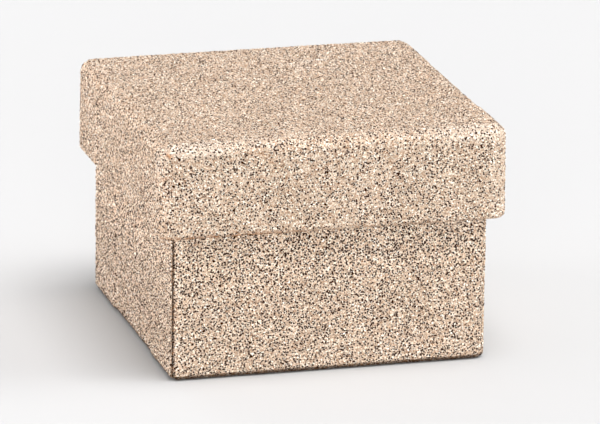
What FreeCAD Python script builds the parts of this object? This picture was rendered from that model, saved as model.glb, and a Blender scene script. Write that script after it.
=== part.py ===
"""Small square rigid gift box with a lift-off lid, in millimetres.

Each half is a folded chipboard shell whose corners are held by paper tape, wrapped in glitter paper
that turns in over the rim, and lined with plain paper.

The origin is the centre of the underside, +Z is up and the front faces -Y. The lid is shown closed.
"""
import FreeCAD, Part
import os

V = FreeCAD.Vector

# Overall sizes.
LID_SIDE = 64.0                  # lid, front face to back face
TOTAL_HEIGHT = 44.7              # box closed
LID_DEPTH = 17.4                 # outside of the lid, top to rim
OVERHANG = 2.75                  # how far the lid's walls stand out past the base's

# Sheet materials.
BOARD = 1.5                      # chipboard
WRAP = 0.35                      # glitter paper
TAPE = 0.15                      # corner tape
LINING = 0.15                    # lining paper

# Folds and rims, as radii at the board's own surface.
LID_FOLD_R = 1.9                 # scored folds and upright corners of the lid
BASE_FOLD_R = 1.0                # scored folds and upright corners of the base
RIM_R = 0.5                      # crushed cut edge along both rims
KERF = 0.2                       # gap left where two board walls meet at a corner

# Corner tape: one strip folded round each upright corner.
TAPE_LEG = 9.0
TAPE_END_GAP = 2.0               # stops short of the fold at the closed end

# Glitter paper turned in over the rim.
BASE_TURN_IN = 14.0
LID_TURN_IN = 10.5

# The front and back panels end in ears that are glued round the corners, and the side panels lie over
# them, so each side panel stands one paper thickness proud along its two upright edges.
EAR_WIDTH = 16.0
EAR_RAMP = 1.2                   # length over which the side panel drops back to the board
BASE_EAR_SETBACK = 0.6           # from the base's front or back face to the side panel's cut edge
LID_EAR_SETBACK = 1.6            # the same on the lid, whose corners are rounder
EAR_ROOT = 0.3                   # depth to which the raised band is rooted in the panel below

# Fits.
LID_REST_GAP = 0.1               # lid's lining to the base's rim, closed
LINING_GAP = 0.2                 # edge of a lining sheet to the wall or paper beside it
GLUE_LINE = 0.05                 # behind the lining of the base's walls

# Levels.
RIM_Z = TOTAL_HEIGHT - LID_DEPTH
LID_BOARD_TOP = TOTAL_HEIGHT - WRAP
LID_CEILING = LID_BOARD_TOP - BOARD
BASE_TOP = LID_CEILING - LINING - LID_REST_GAP
BASE_FLOOR = WRAP + BOARD

# Widths.
LID_BOARD_SIDE = LID_SIDE - 2 * WRAP
BASE_SIDE = LID_SIDE - 2 * OVERHANG
BASE_BOARD_SIDE = BASE_SIDE - 2 * WRAP

TOLERANCE = 1e-5                 # for picking edges by their height

SIDES = {"left": -1, "right": 1}
ENDS = {"front": -1, "back": 1}


def block(side, z_low, z_high):
    """Square block centred on the upright axis."""
    return Part.makeBox(side, side, z_high - z_low, V(-side / 2, -side / 2, z_low))


def upright_edges(shape):
    """The four upright edges of a plain block."""
    return [edge for edge in shape.Edges if edge.BoundBox.ZLength > TOLERANCE]


def edges_at(shape, z):
    """The edges of a block that lie in the level plane at height z."""
    return [edge for edge in shape.Edges
            if abs(edge.BoundBox.ZMin - z) < TOLERANCE and abs(edge.BoundBox.ZMax - z) < TOLERANCE]


def rounded_block(side, z_low, z_high, corner_r, low_r=0.0, high_r=0.0):
    """Square block with rounded upright corners and rounded edges round its ends."""
    shape = block(side, z_low, z_high)
    shape = shape.makeFillet(corner_r, upright_edges(shape))
    if low_r:
        shape = shape.makeFillet(low_r, edges_at(shape, z_low))
    if high_r:
        shape = shape.makeFillet(high_r, edges_at(shape, z_high))
    return shape


def corner_tape(side, corner_r, x_side, y_end, z_low, z_high):
    """Paper strip folded round one upright corner, flush with the board's outer faces."""
    sheet = rounded_block(side, z_low, z_high, corner_r)
    sheet = sheet.cut(rounded_block(side - 2 * TAPE, z_low, z_high, corner_r - TAPE))
    leg = Part.makeBox(TAPE_LEG, TAPE_LEG, z_high - z_low)
    leg.translate(V(x_side * side / 2 - (TAPE_LEG if x_side > 0 else 0),
                    y_end * side / 2 - (TAPE_LEG if y_end > 0 else 0), z_low))
    return sheet.common(leg)


def kerf_cuts(side, z_low, z_high):
    """The four upright gaps between the side walls' ends and the front and back walls."""
    cuts = []
    for x_side in SIDES.values():
        for y_end in ENDS.values():
            cut = Part.makeBox(2 * BOARD, KERF, z_high - z_low)
            inner_y = y_end * (side / 2 - BOARD - KERF / 2)
            cut.translate(V(x_side * side / 2 - BOARD, inner_y - KERF / 2, z_low))
            cuts.append(cut)
    return cuts


def ear_band(x_side, y_end, side, setback, z_low, z_high):
    """Raised band where a side panel lies over an ear, sloping off on three sides."""
    raw_y = y_end * (side / 2 - setback)
    foot_y = y_end * (side / 2 - EAR_WIDTH)
    crown_y = foot_y + y_end * EAR_RAMP
    foot_x = x_side * (side / 2 - EAR_ROOT)
    crown_x = x_side * (side / 2 + WRAP)
    foot = [V(foot_x, raw_y, z_low), V(foot_x, foot_y, z_low),
            V(foot_x, foot_y, z_high), V(foot_x, raw_y, z_high)]
    crown = [V(crown_x, raw_y, z_low + EAR_RAMP), V(crown_x, crown_y, z_low + EAR_RAMP),
             V(crown_x, crown_y, z_high - EAR_RAMP), V(crown_x, raw_y, z_high - EAR_RAMP)]
    outlines = [Part.makePolygon(points + points[:1]) for points in (foot, crown)]
    return Part.makeLoft(outlines, True, True)


def with_ear_bands(wrap, side, setback, z_low, z_high):
    """A wrap with the raised bands at its four corners."""
    for x_side in SIDES.values():
        for y_end in ENDS.values():
            wrap = wrap.fuse(ear_band(x_side, y_end, side, setback, z_low, z_high))
    return wrap.removeSplitter()


def tapes(prefix, side, corner_r, z_low, z_high):
    """The four corner tapes of one half, by name."""
    pieces = {}
    for end_name, y_end in ENDS.items():
        for side_name, x_side in SIDES.items():
            name = f"{prefix}_corner_tape_{end_name}_{side_name}"
            pieces[name] = corner_tape(side, corner_r, x_side, y_end, z_low, z_high)
    return pieces


def base_pieces():
    """Board, tapes, wrap and lining of the base."""
    board_top = BASE_TOP - WRAP
    inner_side = BASE_BOARD_SIDE - 2 * BOARD
    mouth_side = inner_side - 2 * WRAP
    envelope = rounded_block(BASE_BOARD_SIDE, WRAP, board_top, BASE_FOLD_R,
                             low_r=BASE_FOLD_R, high_r=RIM_R)
    pieces = tapes("base", BASE_BOARD_SIDE, BASE_FOLD_R, WRAP + TAPE_END_GAP, board_top - RIM_R)

    board = envelope.cut(block(inner_side, BASE_FLOOR, BASE_TOP))
    for cut in kerf_cuts(BASE_BOARD_SIDE, BASE_FLOOR, BASE_TOP) + list(pieces.values()):
        board = board.cut(cut)
    pieces["base_board"] = board

    outside = rounded_block(BASE_SIDE, 0, BASE_TOP, BASE_FOLD_R + WRAP,
                            low_r=BASE_FOLD_R + WRAP, high_r=RIM_R + WRAP)
    wrap = outside.cut(envelope)
    wrap = wrap.cut(block(mouth_side, BASE_FLOOR, BASE_TOP))
    turn_in_low = BASE_TOP - BASE_TURN_IN
    turn_in = block(inner_side, turn_in_low, board_top)
    turn_in = turn_in.cut(block(mouth_side, turn_in_low, board_top))
    wrap = wrap.fuse(turn_in)
    pieces["base_wrap"] = with_ear_bands(wrap, BASE_SIDE, BASE_EAR_SETBACK,
                                        BASE_FOLD_R, BASE_TOP - RIM_R)

    lining_side = inner_side - 2 * GLUE_LINE
    lining = block(lining_side, BASE_FLOOR, turn_in_low - LINING_GAP)
    pocket = block(lining_side - 2 * LINING, BASE_FLOOR + LINING, turn_in_low)
    pieces["base_lining"] = lining.cut(pocket)
    return pieces


def lid_pieces():
    """Board, tapes, wrap and lining of the lid."""
    board_low = RIM_Z + WRAP
    inner_side = LID_BOARD_SIDE - 2 * BOARD
    mouth_side = inner_side - 2 * WRAP
    envelope = rounded_block(LID_BOARD_SIDE, board_low, LID_BOARD_TOP, LID_FOLD_R,
                             low_r=RIM_R, high_r=LID_FOLD_R)
    pieces = tapes("lid", LID_BOARD_SIDE, LID_FOLD_R, board_low + RIM_R, LID_BOARD_TOP - TAPE_END_GAP)

    board = envelope.cut(block(inner_side, RIM_Z, LID_CEILING))
    for cut in kerf_cuts(LID_BOARD_SIDE, RIM_Z, LID_CEILING) + list(pieces.values()):
        board = board.cut(cut)
    pieces["lid_board"] = board

    outside = rounded_block(LID_SIDE, RIM_Z, TOTAL_HEIGHT, LID_FOLD_R + WRAP,
                            low_r=RIM_R + WRAP, high_r=LID_FOLD_R + WRAP)
    wrap = outside.cut(envelope)
    wrap = wrap.cut(block(mouth_side, RIM_Z, LID_CEILING))
    turn_in_high = RIM_Z + LID_TURN_IN
    turn_in = block(inner_side, board_low, turn_in_high)
    turn_in = turn_in.cut(block(mouth_side, board_low, turn_in_high))
    wrap = wrap.fuse(turn_in)
    pieces["lid_wrap"] = with_ear_bands(wrap, LID_SIDE, LID_EAR_SETBACK,
                                       RIM_Z + RIM_R, TOTAL_HEIGHT - LID_FOLD_R)

    pieces["lid_lining"] = block(inner_side - 2 * LINING_GAP, LID_CEILING - LINING, LID_CEILING)
    return pieces


def main():
    os.makedirs("parts", exist_ok=True)
    for name, shape in {**base_pieces(), **lid_pieces()}.items():
        solid = shape.Solids[0]
        print(f"{name:32s} solids {len(shape.Solids)}  valid {solid.isValid()}  "
              f"volume {solid.Volume:9.2f} mm3")
        solid.exportStep(f"parts/{name}.step")


main()
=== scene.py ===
import math

import bpy
import numpy as np
from mathutils import Matrix, Vector


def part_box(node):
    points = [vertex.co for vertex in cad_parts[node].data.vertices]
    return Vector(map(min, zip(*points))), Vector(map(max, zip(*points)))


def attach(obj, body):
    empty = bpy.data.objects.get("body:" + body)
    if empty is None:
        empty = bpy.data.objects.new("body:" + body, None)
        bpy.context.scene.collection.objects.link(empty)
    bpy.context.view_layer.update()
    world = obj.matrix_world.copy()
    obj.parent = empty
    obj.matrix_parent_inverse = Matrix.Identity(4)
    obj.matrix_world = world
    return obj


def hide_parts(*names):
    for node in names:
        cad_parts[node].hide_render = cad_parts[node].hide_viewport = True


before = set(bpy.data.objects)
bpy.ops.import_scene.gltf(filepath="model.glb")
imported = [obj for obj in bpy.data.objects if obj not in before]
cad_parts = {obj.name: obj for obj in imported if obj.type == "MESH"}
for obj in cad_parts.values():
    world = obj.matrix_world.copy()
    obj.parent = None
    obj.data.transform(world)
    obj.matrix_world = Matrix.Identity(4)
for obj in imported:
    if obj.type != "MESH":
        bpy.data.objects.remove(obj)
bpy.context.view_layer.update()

MM = 0.001                             # a millimetre in Blender's metres

# Sizes shared with the frame, in millimetres like every length here that isn't multiplied by MM.
lid_low, lid_high = (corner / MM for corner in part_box("lid_wrap"))
base_low, base_high = (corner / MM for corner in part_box("base_wrap"))
board_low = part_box("lid_board")[0] / MM
PAPER = board_low.y - lid_low.y        # thickness of the glitter paper
BOARD = 1.5                            # thickness of the chipboard
WALL = BOARD + 2 * PAPER               # a wall: outer paper, board and turned-in paper
OVERLAP_Z = lid_low.z                  # above this height the lid hides the base

# Flakes in the mesh.
PITCH = 0.25                           # from flake to flake
FLAKE_CELL = 0.19                      # width of the noise that moves them
FLAKE_RISE = 0.17                      # greatest height above or below the paper's mean surface
FLAKE_SHOVE = 0.06                     # greatest step aside
CALM_TURN_IN = 0.35                    # share of the rise left where the paper is turned in
CALM_OVERLAP = 0.6                     # and where the base slides inside the lid,
CALM_MARGIN = 1.0                      # from this far above the lid's rim
OUTSIDE_INSET = 0.3                    # paper no deeper than this is on a wall's outer face
BACK_STEP = 12                         # flakes for each square on a sheet's plain back

# Shape of the wraps.
SHEET = 0.3                            # the modelled sheet, a little thinner than its space
RIM_R = 0.85                           # radius round the outer and inner edge of a rim
EAR_WIDTH = 16.0                       # ears glued round the corners under the side panels
EAR_RAMP = 1.2                         # length over which a side panel rises onto an ear
TAIL_STEPS = 7                         # an ear is modelled for only this many steps past the corner,
TAIL_STEP = 1.5 * PITCH                # each of this length, as the side panel hides the rest
EDGE_PRESS = 1.0                       # width along a side panel's cut edges that is pressed down
SIDE_EDGE = (0.1, 0.7)                 # how brown and how pressed down those edges usually are
TUCK_GAP = 0.05                        # between turned-in panels where they meet in a corner
LID_FLARE = 0.17                       # how far the lid's rim spreads
FLARE_FROM = 20.0                      # from the middle of a side to where the spreading begins
FLARE_OVER = 10.0                      # and the length over which it grows
WAVES = ((0.06, 11.0, 1), (0.03, 4.0, 2))   # height, cell and seed of the glued paper's unevenness
STANDING_GAP = 0.02                    # between the lowest flakes and the floor

# Flakes and grains in the material. The dark grains are painted shade, the shadow sides of raised flakes and
# flakes that mirror dark surroundings, each with a painted highlight ring on its lit side.
FLAKE = 0.175 * MM                     # flake of one tint and tilt
FLAKE_TILT = 0.9                       # how far its tilt may turn the normal
FLAKE_POLISH = (0.22, 0.55)            # roughness of the most and the least polished flake
METAL = 0.4                            # how metallic the flakes are
GRAIN_CELL = 0.42 * MM                 # cell that may hold one dark grain
GRAIN_R = 0.185 * MM
LIT_RIM_RADIUS = 0.245 * MM                # painted highlight: a paler ring round a grain, on its lit side, out to this radius
LIT_RIM_STRENGTH = 0.3
GRAIN_SHARE = 0.48                     # share of the cells that hold one, where nothing changes it

# Each tint goes to the flakes from this share of them up to the next. The darkest tints stand in partly for
# flakes that mirror dark surroundings and the whitest for glints: painted reflections.
FLAKE_TINTS = [
    (0.00, (0.02, 0.005, 0.002)),
    (0.05, (0.25, 0.125, 0.06)),
    (0.12, (0.47, 0.325, 0.225)),
    (0.36, (0.60, 0.455, 0.345)),
    (0.68, (0.73, 0.580, 0.455)),
    (0.87, (0.96, 0.84, 0.71)),
    (0.94, (1.00, 0.98, 0.89)),
]
# painted shade of the dark grains, and the painted highlight ring round them
GRAIN_SHADE_COLOUR = (0.028, 0.005, 0.0)
LIT_RIM_COLOUR = (1.0, 0.93, 0.82)
# pale for white flecks and for painted highlights and light, brown for glue and for painted shadows
FLECK_AND_HIGHLIGHT_COLOUR = (1.0, 0.98, 0.93)
GLUE_AND_SHADOW_COLOUR = (0.60, 0.34, 0.16)
BLOTCH_TONES = [(0.35, (0.935, 0.94, 0.93)), (0.65, (0.985, 0.995, 0.995))]
BLOTCHES = 90.0                        # to the metre

# Uncoated paper and board.
SPECKS = 9.0                           # for each mottle, along a line
TEETH = 14.0
TOOTH_DEPTH = 0.05 * MM
POLISH_SPREAD = 0.08                   # how far the roughness strays either way

# Marks of handling, and a few painted highlights and painted shade: from, to, width, and how pale, how brown
# and how free of grains each one is.
MARKS = {
    "lid": [
        ((-15.0, -32.0, 43.8), (-11.6, -32.0, 40.5), 0.7, 0.0, 0.25, 1.0),      # crease on the front, only painted: a brown line free of grains stands in for its light and shade
        ((-31.3, -31.6, 43.4), (-30.6, -31.8, 42.8), 0.8, 0.0, 0.85, 0.5),      # brown patch at the front left corner
        ((-30.3, -31.3, 44.0), (-26.0, -31.3, 44.0), 1.0, 0.15, 0.0, 0.2),      # painted highlight on the fold beside it
        ((15.2, -12.9, 44.7), (17.6, -13.5, 44.7), 0.5, 0.6, 0.0, 1.0),         # white flecks on the top
        ((10.9, 19.8, 44.7), (12.4, 19.4, 44.7), 0.5, 0.6, 0.0, 1.0),
    ],
    "base": [
        ((-28.9, -29.2, 15.5), (-28.9, -29.2, 10.8), 0.7, 0.0, 0.6, 0.0),       # glue by the front left seam
        ((-28.5, -29.2, 7.4), (-28.3, -29.2, 6.6), 0.6, 0.3, 0.0, 0.4),         # painted highlight on the rounded corner below it
        ((-27.2, -28.9, 0.6), (-26.6, -28.9, 0.6), 0.4, 0.8, 0.0, 1.0),         # white fleck at its foot
    ],
}


# ---------------------------------------------------------------- node helpers

def new_material(name):
    """An empty node material with its Principled shader and output."""
    material = bpy.data.materials.new(name)
    material.use_nodes = True
    tree = material.node_tree
    tree.nodes.clear()
    output = tree.nodes.new("ShaderNodeOutputMaterial")
    shader = tree.nodes.new("ShaderNodeBsdfPrincipled")
    tree.links.new(shader.outputs["BSDF"], output.inputs["Surface"])
    return material, tree, shader


def add(tree, kind, **settings):
    """A node of that kind, with its properties and unlinked inputs set by name."""
    node = tree.nodes.new("ShaderNode" + kind)
    for key, value in settings.items():
        if hasattr(node, key):
            setattr(node, key, value)
        else:
            node.inputs[key].default_value = value
    return node


def feed(tree, value, socket):
    """Links another node's output to the socket, or sets the socket to a number, vector or colour."""
    if isinstance(value, bpy.types.NodeSocket):
        tree.links.new(value, socket)
    elif socket.type == "RGBA":
        socket.default_value = (*value, 1.0)
    else:
        socket.default_value = value


def work_out(tree, kind, operation, *values):
    """The result of a Math or VectorMath node whose inputs are the values."""
    node = add(tree, kind, operation=operation)
    for value, socket in zip(values, node.inputs):
        feed(tree, value, socket)
    return node.outputs[0]


def mix(tree, blend, factor, first, second):
    """Colour first mixed with second by factor; each is another node's output or a plain value."""
    node = add(tree, "Mix", data_type="RGBA", blend_type=blend)
    for value, socket in ((factor, node.inputs[0]), (first, node.inputs[6]), (second, node.inputs[7])):
        feed(tree, value, socket)
    return node.outputs[2]


def ramp(tree, factor, stops, interpolation="LINEAR"):
    """A colour ramp from (position, colour) stops, fed by factor."""
    node = add(tree, "ValToRGB")
    node.color_ramp.interpolation = interpolation
    elements = node.color_ramp.elements
    while len(elements) < len(stops):
        elements.new(1.0)
    for element, (position, colour) in zip(elements, stops):
        element.position = position
        element.color = (*colour, 1.0)
    tree.links.new(factor, node.inputs["Fac"])
    return node.outputs["Color"]


def between(tree, value, low, high):
    """A share from 0 to 1, stretched to run from low to high."""
    node = add(tree, "MapRange", **{"To Min": low, "To Max": high})
    tree.links.new(value, node.inputs["Value"])
    return node.outputs["Result"]


def noise(tree, place, scale, detail, **settings):
    """Soft noise fixed to the object."""
    node = add(tree, "TexNoise", Scale=scale, Detail=detail, **settings)
    tree.links.new(place.outputs["Object"], node.inputs["Vector"])
    return node.outputs["Fac"]


def random_cells(tree, place, size):
    """Cells of that size fixed to the object, and a random draw for each of them."""
    cells = add(tree, "TexVoronoi", Scale=1.0 / size, Randomness=1.0)
    tree.links.new(place.outputs["Object"], cells.inputs["Vector"])
    draw = add(tree, "TexWhiteNoise", noise_dimensions="3D")
    tree.links.new(cells.outputs["Position"], draw.inputs["Vector"])
    return cells, draw


# ---------------------------------------------------------------- materials

def leaning_normal(tree, cells):
    """The surface's normal, tipped a different way on each flake."""
    surface = add(tree, "NewGeometry")
    centred = work_out(tree, "VectorMath", "SUBTRACT", cells.outputs["Color"], (0.5, 0.5, 0.5))
    tilt = work_out(tree, "VectorMath", "MULTIPLY", centred, (FLAKE_TILT, FLAKE_TILT, FLAKE_TILT))
    leaning = work_out(tree, "VectorMath", "ADD", surface.outputs["Normal"], tilt)
    return work_out(tree, "VectorMath", "NORMALIZE", leaning)


def glitter():
    """Metallised flakes glued to paper, each with its own tilt, tint and polish, and dark grains among them
    that are painted shade.

    The paint attribute says how pale (white flecks, painted highlights and painted light), how brown (glue
    and painted shadows) and how bright (painted light and shade) the paper is at each point, and which share
    of the grain cells there hold a grain.
    """
    material, tree, shader = new_material("glitter_paper")
    place = add(tree, "TexCoord")
    flakes, flake_draw = random_cells(tree, place, FLAKE)
    grains, grain_draw = random_cells(tree, place, GRAIN_CELL)
    paint = add(tree, "Attribute", attribute_name="paint")
    wear_and_light = add(tree, "SeparateColor")
    feed(tree, paint.outputs["Color"], wear_and_light.inputs[0])
    picked = work_out(tree, "Math", "LESS_THAN", grain_draw.outputs["Value"], paint.outputs["Alpha"])

    def picked_within(radius):
        """1 out to that radius from the middle of a grain that is there, and 0 beyond."""
        close = work_out(tree, "Math", "LESS_THAN", grains.outputs["Distance"], radius / GRAIN_CELL)
        return work_out(tree, "Math", "MULTIPLY", picked, close)

    # dark grains are painted shade, each with a painted highlight ring on its lit side
    grain = picked_within(GRAIN_R)
    painted_lit_rim = work_out(tree, "Math", "MULTIPLY", picked_within(LIT_RIM_RADIUS), LIT_RIM_STRENGTH)

    colour = ramp(tree, flake_draw.outputs["Value"], FLAKE_TINTS, "CONSTANT")
    # pale: white flecks and painted highlights; brown: glue and painted shadows; then painted light and shade
    colour = mix(tree, "MIX", wear_and_light.outputs[0], colour, FLECK_AND_HIGHLIGHT_COLOUR)
    colour = mix(tree, "MULTIPLY", wear_and_light.outputs[1], colour, GLUE_AND_SHADOW_COLOUR)
    colour = mix(tree, "MULTIPLY", 1.0, colour, wear_and_light.outputs[2])
    colour = mix(tree, "MIX", painted_lit_rim, colour, LIT_RIM_COLOUR)
    colour = mix(tree, "MIX", grain, colour, GRAIN_SHADE_COLOUR)
    blotches = ramp(tree, noise(tree, place, BLOTCHES, 3.0), BLOTCH_TONES)
    feed(tree, mix(tree, "MULTIPLY", 1.0, colour, blotches), shader.inputs["Base Color"])

    other_draw = add(tree, "SeparateColor")
    feed(tree, flake_draw.outputs["Color"], other_draw.inputs[0])
    feed(tree, between(tree, other_draw.outputs[1], *FLAKE_POLISH), shader.inputs["Roughness"])
    feed(tree, between(tree, grain, METAL, 0.0), shader.inputs["Metallic"])
    feed(tree, leaning_normal(tree, flakes), shader.inputs["Normal"])
    shader.inputs["Specular IOR Level"].default_value = 0.0
    shader.inputs["Specular Tint"].default_value = (1.0, 0.82, 0.68, 1.0)
    return material


def fibre(name, dark, light, mottles, roughness, bump, flecks=None):
    """Uncoated paper or board with that many mottles to the metre, a soft tooth and perhaps flecks."""
    material, tree, shader = new_material(name)
    place = add(tree, "TexCoord")
    mottle = noise(tree, place, mottles, 6.0, Roughness=0.65)
    tone = ramp(tree, mottle, [(0.3, dark), (0.7, light)])
    if flecks is not None:
        speck = noise(tree, place, SPECKS * mottles, 2.0)
        share = ramp(tree, speck, [(0.62, (0.0, 0.0, 0.0)), (0.72, (1.0, 1.0, 1.0))])
        tone = mix(tree, "MIX", share, tone, flecks)
    feed(tree, tone, shader.inputs["Base Color"])
    tooth = add(tree, "Bump", Strength=bump, Distance=TOOTH_DEPTH)
    feed(tree, noise(tree, place, TEETH * mottles, 4.0), tooth.inputs["Height"])
    feed(tree, tooth.outputs["Normal"], shader.inputs["Normal"])
    polish = between(tree, mottle, roughness - POLISH_SPREAD, roughness + POLISH_SPREAD)
    feed(tree, polish, shader.inputs["Roughness"])
    return material


GLITTER = glitter()
GLUED_BACK = fibre("glued_back", (0.10, 0.06, 0.035), (0.17, 0.105, 0.06),
                   mottles=300.0, roughness=0.8, bump=0.4)
GREYBOARD = fibre("greyboard", (0.23, 0.20, 0.165), (0.40, 0.36, 0.30),
                  mottles=350.0, roughness=0.85, bump=0.6, flecks=(0.10, 0.08, 0.06))
KRAFT = fibre("kraft_tape", (0.34, 0.21, 0.11), (0.47, 0.31, 0.17),
              mottles=500.0, roughness=0.7, bump=0.4)
LINING = fibre("lining_paper", (0.78, 0.74, 0.66), (0.86, 0.83, 0.76),
               mottles=260.0, roughness=0.75, bump=0.35)


# ---------------------------------------------------------------- repeatable noise and curves

def chance(ix, iy, iz, seed):
    """A repeatable number from 0 to 1 for each whole-number cell; the big numbers only scatter its bits."""
    n = (ix * 73856093) ^ (iy * 19349663) ^ (iz * 83492791) ^ (seed * 15485863)
    for factor in (2246822519, 3266489917):
        n = (n ^ (n >> 15)) * factor & 0xFFFFFFFF
    return ((n ^ (n >> 16)) & 0xFFFFFF) / float(0x1000000)


def roll(p, cell, seed):
    """Smooth noise from -1 to 1 at points p, with a random value at each corner of its cells.

    Every seed gives its own pattern.
    """
    q = np.asarray(p) / cell
    low = np.floor(q).astype(np.int64)
    t = q - low
    t = t * t * (3 - 2 * t)
    total = 0.0
    for dx in (0, 1):
        for dy in (0, 1):
            for dz in (0, 1):
                weight = 1.0
                for axis, d in enumerate((dx, dy, dz)):
                    weight = weight * (t[..., axis] if d else 1 - t[..., axis])
                total = total + weight * chance(low[..., 0] + dx, low[..., 1] + dy, low[..., 2] + dz, seed)
    return 2 * total - 1


def smooth(x):
    """0 below 0, 1 above 1, and an S-shaped rise between them."""
    x = np.clip(x, 0.0, 1.0)
    return x * x * (3 - 2 * x)


def rise(value, start, over):
    """0 up to start, 1 from start + over on, and an S-shaped rise between them."""
    return smooth((value - start) / over)


def arc(cx, cy, r, first, last):
    """Evenly spaced points of an arc in the (inset, depth) plane; its angles are in degrees."""
    steps = max(3, round(math.radians(abs(last - first)) * r / PITCH))
    a = np.radians(np.linspace(first, last, steps + 1))
    return np.stack([cx + r * np.cos(a), cy - r * np.sin(a)], axis=1)


def line(start, end):
    """Evenly spaced points of a straight line."""
    steps = max(2, round(math.dist(start, end) / PITCH))
    return np.linspace(start, end, steps + 1)


def near(p, start, end, width):
    """1 on the line from start to end, falling to 0 at width from it."""
    start, along = np.array(start), np.subtract(end, start)
    t = np.clip(((p - start) * along).sum(-1) / (along * along).sum(), 0.0, 1.0)
    return 1 - smooth(np.linalg.norm(p - start - t[..., None] * along, axis=-1) / width)


# ---------------------------------------------------------------- the two halves

class Half:
    """One half of the box, described from its closed end towards its rim."""

    def __init__(self, name, half, closed_z, rim_z, fold_r, turn_in, setback):
        self.name = name
        self.half = half                       # centre to the outer face of the paper
        self.closed_z = closed_z
        self.up = 1 if closed_z > rim_z else -1
        self.depth = abs(closed_z - rim_z)
        self.fold_r = fold_r                   # round the closed end and up the corners
        self.turn_in = turn_in
        self.setback = setback                 # corner to the side panel's cut edge
        self.flat = half - fold_r              # centre to where the folds begin
        self.grid = np.linspace(-self.flat, self.flat, round(2 * self.flat / PITCH) + 1)
        self.profile, self.slope = self.outline()

    def outline(self):
        """Points (inset, depth) from the closed end over the fold, down the wall, round the rim and in,
        and the surface normal's (outward, towards the rim) parts there."""
        r, rim = self.fold_r, RIM_R
        runs = [
            arc(r, r, r, 90, 180),
            line((0, r), (0, self.depth - rim)),
            arc(rim, self.depth - rim, rim, 180, 270),
            arc(WALL - rim, self.depth - rim, rim, 270, 360),
            line((WALL, self.depth - rim), (WALL, self.depth - self.turn_in)),
        ]
        points = np.concatenate([runs[0]] + [run[1:] for run in runs[1:]])
        along = np.gradient(points, axis=0)
        along /= np.linalg.norm(along, axis=1)[:, None]
        return points, np.stack([along[:, 1], along[:, 0]], axis=1)


LID = Half("lid", lid_high.y, lid_high.z, lid_low.z, fold_r=2.25, turn_in=10.5, setback=1.6)
BASE = Half("base", base_high.y, base_low.z, base_high.z, fold_r=1.35, turn_in=14.0, setback=0.6)
QUARTER_TURNS = {"front": 0, "right": 1, "back": 2, "left": 3}


def turned(panel, x, y):
    """Parts of a place or direction given for the front panel, turned to the panel's own side."""
    for _ in range(QUARTER_TURNS[panel]):
        x, y = -y, x
    return x, y


def placed(half, panel, x, y, h):
    """Points of a panel, from their places on the front panel and their distances from the closed end."""
    x, y = turned(panel, x, y)
    return np.stack([x, y, half.closed_z - half.up * h], axis=-1)


def directed(half, panel, x, y, drop):
    """Unit normals of a panel, from their parts on the front panel and towards the rim."""
    x, y = turned(panel, x, y)
    n = np.stack([x, y, -half.up * drop], axis=-1)
    return n / np.maximum(np.linalg.norm(n, axis=-1), 1e-9)[..., None]


def shaped(half, p, n, rough):
    """The paper's final surface: slow unevenness of the glued sheet, flakes, and the lid's slight flare."""
    slow = sum(height * roll(p, cell, seed) for height, cell, seed in WAVES)
    flakes = rough * FLAKE_RISE * roll(p, FLAKE_CELL, 3)
    p = p + n * (slow + flakes)[..., None]
    shove = np.stack([roll(p, FLAKE_CELL, seed) for seed in (4, 5, 6)], axis=-1)
    shove = shove * FLAKE_SHOVE * rough[..., None]
    p = p + shove - n * (shove * n).sum(-1)[..., None]
    if half.name == "lid":
        lean = LID_FLARE * (half.closed_z - p[..., 2]) / half.depth
        for axis in (0, 1):
            p[..., axis] += np.sign(p[..., axis]) * lean * rise(np.abs(p[..., axis]), FLARE_FROM, FLARE_OVER)
    else:
        p[..., 2] = np.maximum(p[..., 2], STANDING_GAP)
    return p


# ---------------------------------------------------------------- wear and painted light and shade, point by point

def lid_wear_and_light(half, p, n, drift, fray):
    """The lid's front fold gets a painted highlight, its front right corner painted light, its upward paper
    painted shade, and the front of its rim a painted brown shadow line.
    """
    x, y, z = p[..., 0], p[..., 1], p[..., 2]
    on_front = rise(-y, half.flat, 1.0)
    ends = rise(np.abs(x), 8.0, 18.0)                       # 0 in the middle of the front, 1 at its ends

    # painted highlight along the front fold, wider and paler towards its ends
    over_fold = (half.closed_z - z) - (y + half.half)       # 0 on the fold, less on the top, more below
    shift = 1.2 * (1 - ends)                                # in the middle the painted highlight band lies further up,
    half_width = 0.9 + ends                                 # is narrower,
    strength = 0.01 + 0.15 * ends                           # is fainter
    patches = np.clip(0.85 + (0.9 - 0.7 * ends) * drift, 0.15, 1.3)     # and is more broken up
    band = 1 - rise(np.abs(over_fold + shift), half_width, 1.0)
    pale = strength * band * rise(-y, half.flat - 2.0, 2.0) * patches

    corner = rise(x, half.half - 4.0, 1.5) * on_front       # the last few millimetres on the right, given painted light: paler, brighter and with fewer grains
    pale = np.maximum(pale, 0.08 * corner * (0.8 + 0.3 * drift))
    grains = GRAIN_SHARE * (1 - 0.35 * corner)
    # painted shade: paper facing up is made a little darker
    shaded_facing_up = smooth(1.2 * n[..., 2])
    shade = (1 + 0.05 * corner) * (1 - 0.07 * shaded_facing_up)

    rim = 1 - rise(z, OVERLAP_Z + 0.2, 0.8)                 # the lowest millimetre, where a painted brown shadow line runs along the front of the rim
    leftward = 0.3 + 0.6 * rise(-x, 4.0, 6.0)
    stain_and_shadow = rim * on_front * leftward * (0.7 + 0.4 * fray)
    return pale, stain_and_shadow, shade, grains


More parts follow.
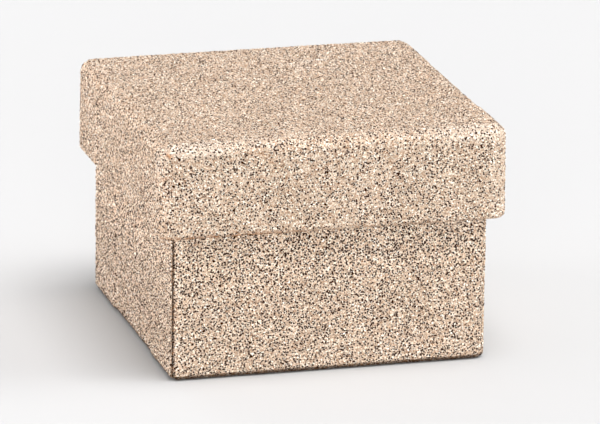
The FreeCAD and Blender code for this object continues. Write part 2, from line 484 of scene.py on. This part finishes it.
def base_wear_and_light(half, p, n, fray):
    """The base: brown glue and a painted crevice shadow at its left seams, a painted contact shadow round its
    bottom edges, and painted light and shade that brighten it, most near the lid, darken its left side and
    add grains to its upper part.
    """
    x, y, z = p[..., 0], p[..., 1], p[..., 2]
    turn = np.degrees(np.arctan2(np.abs(n[..., 0]), np.abs(n[..., 1])))     # 0 on the front, 90 on a side
    past_corner = rise(turn, 50.0, 6.0)
    upright = np.abs(n[..., 2]) < 0.5
    on_ear = (np.abs(y) > half.flat) & (np.abs(x) < half.half + 0.1)
    seam = upright * on_ear * (x < 0) * past_corner         # the strip of ear beside a side panel's cut edge: brown glue and a painted crevice shadow
    outer = np.maximum(np.abs(x), np.abs(y)) > half.flat + 0.05
    # painted contact shadow: the underside of the bottom fold is darkened brown
    under = rise(-n[..., 2], 0.3, 0.15) * (z < half.fold_r) * outer
    stain_and_shadow = 0.9 * np.maximum(seam, under)

    high = rise(z, 15.0, 6.0)                               # the part nearer the lid, painted brighter and grainier where the lid's shade falls
    shaded_facing_left = rise(-n[..., 0], 0.5, 0.5)
    grains = GRAIN_SHARE * (1.5 + 0.4 * high)
    # how dark the painted crevice shadow at the seam is, varying along it
    seam_shadow_depth = np.clip(0.8 + fray, 0.2, 0.98)
    # painted shade: the seam's crevice shadow and the contact shadow under the bottom fold
    shade = (1 - seam_shadow_depth * seam) * (1 - 0.8 * under)
    # painted light and shade: the whole base a tenth brighter, more near the lid, and its left side darker
    shade = shade * (1.10 + 0.18 * high) * (1 - 0.09 * shaded_facing_left)
    return np.zeros_like(x), stain_and_shadow, shade, grains


def painted(half, p, n):
    """Wear and painted light and shade at each point: how pale, how brown and how bright the paper is, and
    its share of dark grains, which are painted shade.
    """
    fray = roll(p, 1.1, 12)
    if half.name == "lid":
        pale, stain_and_shadow, shade, grains = lid_wear_and_light(half, p, n, roll(p, 6.0, 11), fray)
    else:
        pale, stain_and_shadow, shade, grains = base_wear_and_light(half, p, n, fray)
    # painted light and shade by face direction: the sides brighter, and more dark grains on the sides and the
    # top, most on the left
    sideways = rise(np.abs(n[..., 0]), 0.5, 0.5)
    level = rise(np.abs(n[..., 2]), 0.5, 0.5)
    grainy_sides = 0.1 + 0.5 * (p[..., 0] < 0)              # the left side more than the right one
    grains = grains * (1 + grainy_sides * sideways + 0.25 * level)
    shade = shade * (1 + 0.15 * sideways)
    for start, end, width, whiter, browner, calmer in MARKS[half.name]:
        mark = near(p, start, end, width)
        pale = np.maximum(pale, whiter * mark)
        stain_and_shadow = np.maximum(stain_and_shadow, browner * mark)
        grains = grains * (1 - calmer * mark)
    return np.stack([np.clip(pale, 0, 1), np.clip(stain_and_shadow, 0, 1), shade, grains], axis=-1)


def edge_wear(p, stained):
    """Wear of a sheet's cut edge, kept on the points of its back: brown glue in patches, mostly low down."""
    low = 1 - rise(p[..., 2], 4.0, 4.0)
    stain_and_shadow = stained * np.clip(0.25 + 0.5 * low + 0.9 * roll(p, 2.5, 13), 0.0, 1.0)
    return np.stack([0 * stain_and_shadow, stain_and_shadow, 1.0 - 0.25 * stain_and_shadow, 0 * stain_and_shadow], axis=-1)


# ---------------------------------------------------------------- closed sheets

def kept(count):
    """Rows or columns of the front that the back of a sheet keeps."""
    rows = list(range(0, count - 1, BACK_STEP))
    if count - 1 - rows[-1] < BACK_STEP / 2 and len(rows) > 1:
        rows.pop()
    return rows + [count - 1]


def front_triangles(rows, columns):
    """Two triangles for each square of the grid, cut along either diagonal at random."""
    i, j = np.meshgrid(np.arange(rows - 1), np.arange(columns - 1), indexing="ij")
    corner = i * columns + j
    right, below, across = corner + 1, corner + columns, corner + columns + 1
    swap = (chance(i, j, 0 * i, 7) < 0.5)[..., None]
    first = np.where(swap, np.stack([corner, right, across], -1), np.stack([corner, right, below], -1))
    second = np.where(swap, np.stack([corner, across, below], -1), np.stack([right, across, below], -1))
    return np.concatenate([first.reshape(-1, 3), second.reshape(-1, 3)])


def back_and_edges(rows, columns, back_rows, back_columns):
    """The squares of a sheet's plain back, and the faces of its edges between front and back."""
    width, last = len(back_columns), len(back_rows) - 1

    def front(i, j):
        return i * columns + j

    def back(k, m):
        return rows * columns + k * width + m

    squares = [(back(k, m), back(k + 1, m), back(k + 1, m + 1), back(k, m + 1))
               for k in range(last) for m in range(width - 1)]
    edges = []
    for m in range(width - 1):
        span = range(back_columns[m], back_columns[m + 1] + 1)
        edges.append([front(0, j) for j in reversed(span)] + [back(0, m), back(0, m + 1)])
        edges.append([front(rows - 1, j) for j in span] + [back(last, m + 1), back(last, m)])
    for k in range(last):
        span = range(back_rows[k], back_rows[k + 1] + 1)
        edges.append([front(i, 0) for i in span] + [back(k + 1, 0), back(k, 0)])
        edges.append([front(i, columns - 1) for i in reversed(span)]
                     + [back(k, width - 1), back(k + 1, width - 1)])
    return squares, edges


def winding(points, triangles, n):
    """1 if the triangles face the same way as the sheet's own normals, and -1 if they face away."""
    some = triangles[:: max(1, len(triangles) // 2000)]
    a, b, c = (points[some[:, corner]] for corner in range(3))
    agreement = (np.cross(b - a, c - a) * n.reshape(-1, 3)[some[:, 0]]).sum()
    return -1 if agreement < 0 else 1


def sheet(name, half, p, n, rough, edge_stain=0.0):
    """A closed sheet of paper from a grid of points and normals: flakes in front, glue behind."""
    rows, columns = p.shape[:2]
    back_rows, back_columns = kept(rows), kept(columns)
    chosen = np.ix_(back_rows, back_columns)
    front = shaped(half, p, n, rough).reshape(-1, 3)
    behind = shaped(half, p[chosen] - n[chosen] * SHEET, n[chosen], 0 * rough[chosen]).reshape(-1, 3)

    triangles = front_triangles(rows, columns)
    squares, edges = back_and_edges(rows, columns, back_rows, back_columns)
    turn = winding(front, triangles, n)
    faces = [tuple(face[::turn]) for face in triangles.tolist() + squares + edges]
    glued = np.zeros(len(faces), int)
    glued[len(triangles):len(triangles) + len(squares)] = 1

    mesh = bpy.data.meshes.new(name)
    mesh.from_pydata((np.concatenate([front, behind]) * MM).tolist(), [], faces)
    mesh.materials.append(GLITTER)
    mesh.materials.append(GLUED_BACK)
    mesh.polygons.foreach_set("material_index", glued)
    wear_and_light = np.concatenate([painted(half, p, n).reshape(-1, 4),
                           edge_wear(p[chosen], edge_stain).reshape(-1, 4)])
    paint = mesh.attributes.new("paint", "FLOAT_COLOR", "POINT")
    paint.data.foreach_set("color", wear_and_light.ravel())
    mesh.update()
    piece = bpy.data.objects.new(name, mesh)
    bpy.context.scene.collection.objects.link(piece)
    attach(piece, half.name)
    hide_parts(half.name + "_wrap")


# ---------------------------------------------------------------- the panels of a wrap

def roughness_down(half, shape):
    """Less relief round the rim and on paper that slides inside the other half."""
    inset, depth = half.profile[:, 0], half.profile[:, 1]
    on_outside = inset < OUTSIDE_INSET
    calm = np.where((depth > half.depth / 2) & ~on_outside, CALM_TURN_IN, 1.0)
    if half.name == "base":
        calm = np.where(on_outside & (depth > OVERLAP_Z + CALM_MARGIN), CALM_OVERLAP, calm)
    return np.broadcast_to(calm[:, None], shape)


def closed_panel(half, name):
    """The flat sheet over the closed end, out to where the folds begin."""
    x, y = np.meshgrid(half.grid, half.grid)
    p = np.stack([x, y, np.full_like(x, half.closed_z)], axis=-1)
    n = np.zeros_like(p)
    n[..., 2] = half.up
    sheet(name, half, p, n, np.ones_like(x))


def end_panel(half, panel, name):
    """Front or back panel, which also covers both upright corners and runs on as ears under the sides."""
    inset, h = half.profile[:, 0:1], half.profile[:, 1:2]
    out, drop = half.slope[:, 0:1], half.slope[:, 1:2]
    radius = np.maximum(half.fold_r - inset, 0.02)          # of the upright corners at each depth
    inner = half.half - inset - radius
    quarter = math.pi / 2
    turns = np.linspace(0, quarter, max(4, round(half.fold_r * quarter / PITCH)) + 1)[1:]
    tail = np.arange(1, TAIL_STEPS + 1) * TAIL_STEP
    turn = np.concatenate([0 * half.grid, turns, 0 * tail + quarter])[None, :]
    beyond = np.concatenate([0 * half.grid, 0 * turns, tail])[None, :]
    straight = half.grid[None, :] / half.flat * inner
    bent = inner + 0 * turn[:, half.grid.size:]
    x = np.concatenate([straight, bent], axis=1) + radius * np.sin(turn)
    y = -(inner + radius * np.cos(turn)) + beyond
    all_rows = np.ones_like(inset)

    def both_ends(values, sign):
        """The columns past the left end of the flat stretch mirror those past its right end."""
        return np.concatenate([sign * values[:, :half.grid.size - 1:-1], values], axis=1)

    x, y = both_ends(x, -1), both_ends(y, 1)
    across, outward = both_ends(np.sin(turn) * all_rows, -1), both_ends(-np.cos(turn) * all_rows, 1)
    n = directed(half, panel, across * out, outward * out, drop + 0 * x)
    sheet(name, half, placed(half, panel, x, y, h + 0 * x), n, roughness_down(half, x.shape))


def side_panel(half, panel, name, edge_stain, pressed):
    """Left or right panel: lies over the ears and is cut just short of the corners.

    Its cut edges are brown by the share edge_stain, and pressed down onto the ears by the share pressed.
    """
    inset, h = half.profile[:, 0:1], half.profile[:, 1:2]
    out, drop = half.slope[:, 0:1], half.slope[:, 1:2]
    below = h > half.depth / 2
    tucked = np.where(below, smooth(inset / WALL), 0.0)
    opened = np.where(below, 1.0, smooth((half.fold_r - inset) / half.fold_r))
    reach = half.half - inset - half.setback * opened * (1 - tucked) - TUCK_GAP * tucked
    reach = half.flat + (reach - half.flat) * opened
    x = half.grid[None, :] / half.flat * reach
    band = rise(np.abs(x), half.half - EAR_WIDTH, EAR_RAMP)
    press = pressed * rise(np.abs(x), half.half - half.setback - EDGE_PRESS, EDGE_PRESS)
    lift = PAPER * band * opened * (1 - tucked) * (1 - press)
    p = placed(half, panel, x, -(half.half - inset + lift), h + 0 * x)
    n = directed(half, panel, 0 * x, -out + 0 * x, drop + 0 * x)
    sheet(name, half, p, n, roughness_down(half, x.shape), edge_stain)


def wrap(half, closed_name, edges):
    """All five panels; edges says how brown and how pressed down a side's cut edges are, if not as usual."""
    closed_panel(half, f"{half.name}_wrap_{closed_name}")
    for panel in ("front", "back"):
        end_panel(half, panel, f"{half.name}_wrap_{panel}")
    for panel in ("left", "right"):
        side_panel(half, panel, f"{half.name}_wrap_{panel}", *edges.get(panel, SIDE_EDGE))


wrap(LID, "top", {})
wrap(BASE, "bottom", {"left": (1.0, 0.0)})


# ---------------------------------------------------------------- boards, tapes and linings

def repaint(node, material):
    """Gives a CAD node a better material."""
    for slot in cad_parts[node].material_slots:
        slot.link = "OBJECT"
        slot.material = material


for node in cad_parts:
    for part, material in (("_board", GREYBOARD), ("_corner_tape_", KRAFT), ("_lining", LINING)):
        if part in node:
            repaint(node, material)


# ---------------------------------------------------------------- camera, floor and light

SENSOR = 36.0                          # width of the camera's sensor
FLOOR_REACH = 9.0                      # metres from the box to the floor's edges
FLOOR_COLOUR = (0.512, 0.522, 0.528, 1)
LAMP_SPREAD = 35                       # degrees across each lamp, as seen from the box
LAMPS = [                              # name, direction from the box, strength and colour
    ("overhead", (0.1, -0.2, 1.0), 2.95, (1.0, 0.96, 0.95)),
    ("key", (0.93, -0.2, 0.6), 1.4, (0.98, 0.99, 1.0)),
    ("front_fill", (-0.3, -1.0, 0.1), 2.45, (1.0, 0.995, 0.98)),
    ("left_fill", (-1.0, 0.15, 0.1), 1.95, (1.0, 0.91, 0.89)),
    ("back_fill", (-0.2, 1.0, 0.1), 1.3, (1.0, 1.0, 1.0)),
]
ROOM_TONES = [(0.0, (0.93, 0.93, 0.93)), (0.0005, (0.45, 0.45, 0.45))]      # below and above the horizon


def look(yaw, pitch, tilt, aside, away, above, lens):
    """The camera, from its angles in radians, the box's place as the camera sees it, and its lens."""
    cy, sy = math.cos(yaw), math.sin(yaw)
    cp, sp = math.cos(pitch), math.sin(pitch)
    cr, sr = math.cos(tilt), math.sin(tilt)
    turn = Matrix(((cy, sy, 0), (-sy, cy, 0), (0, 0, 1)))
    nod = Matrix(((1, 0, 0), (0, cp, -sp), (0, sp, cp)))
    tip = Matrix(((cr, 0, sr), (0, 1, 0), (-sr, 0, cr)))
    rows = tip @ nod @ turn
    place = -(rows.transposed() @ Vector((aside, away, above))) * MM
    right, forward, up = rows
    data = bpy.data.cameras.new("camera")
    data.sensor_width = SENSOR
    data.lens = lens
    data.clip_start = 50 * MM
    data.clip_end = 50000 * MM
    camera = bpy.data.objects.new("camera", data)
    camera.matrix_world = Matrix((
        (right.x, up.x, -forward.x, place.x),
        (right.y, up.y, -forward.y, place.y),
        (right.z, up.z, -forward.z, place.z),
        (0, 0, 0, 1)))
    bpy.context.scene.collection.objects.link(camera)
    bpy.context.scene.camera = camera


def soft_light(name, direction, strength, colour):
    """A wide soft lamp, far away in that direction."""
    data = bpy.data.lights.new(name, "SUN")
    data.energy = strength
    data.angle = math.radians(LAMP_SPREAD)
    data.color = colour
    lamp = bpy.data.objects.new(name, data)
    lamp.rotation_mode = "QUATERNION"
    lamp.rotation_quaternion = (-Vector(direction)).to_track_quat("-Z", "Y")
    bpy.context.scene.collection.objects.link(lamp)


def pale_floor():
    """A plain pale floor under the box."""
    mesh = bpy.data.meshes.new("floor")
    corners = [(FLOOR_REACH * x, FLOOR_REACH * y, 0) for x, y in ((-1, -1), (1, -1), (1, 1), (-1, 1))]
    mesh.from_pydata(corners, [], [(0, 1, 2, 3)])
    floor = bpy.data.objects.new("floor", mesh)
    bpy.context.scene.collection.objects.link(floor)
    material, _, shader = new_material("floor")
    shader.inputs["Base Color"].default_value = FLOOR_COLOUR
    shader.inputs["Roughness"].default_value = 0.9
    shader.inputs["Specular IOR Level"].default_value = 0.1
    mesh.materials.append(material)


def pale_room():
    """A plain pale room round the box, brighter below the horizon, where it shows behind the floor."""
    world = bpy.data.worlds.new("room")
    bpy.context.scene.world = world
    world.use_nodes = True
    tree = world.node_tree
    way = add(tree, "TexCoord")
    axes = add(tree, "SeparateXYZ")
    feed(tree, way.outputs["Generated"], axes.inputs[0])
    tone = ramp(tree, axes.outputs["Z"], ROOM_TONES, "CONSTANT")
    feed(tree, tone, tree.nodes["Background"].inputs["Color"])
    bpy.context.scene.view_settings.view_transform = "Standard"


look(yaw=-0.2757, pitch=0.2905, tilt=0.0132, aside=-2.577, away=1004.3, above=-20.525, lens=323.706)
pale_floor()
for lamp_settings in LAMPS:
    soft_light(*lamp_settings)
pale_room()
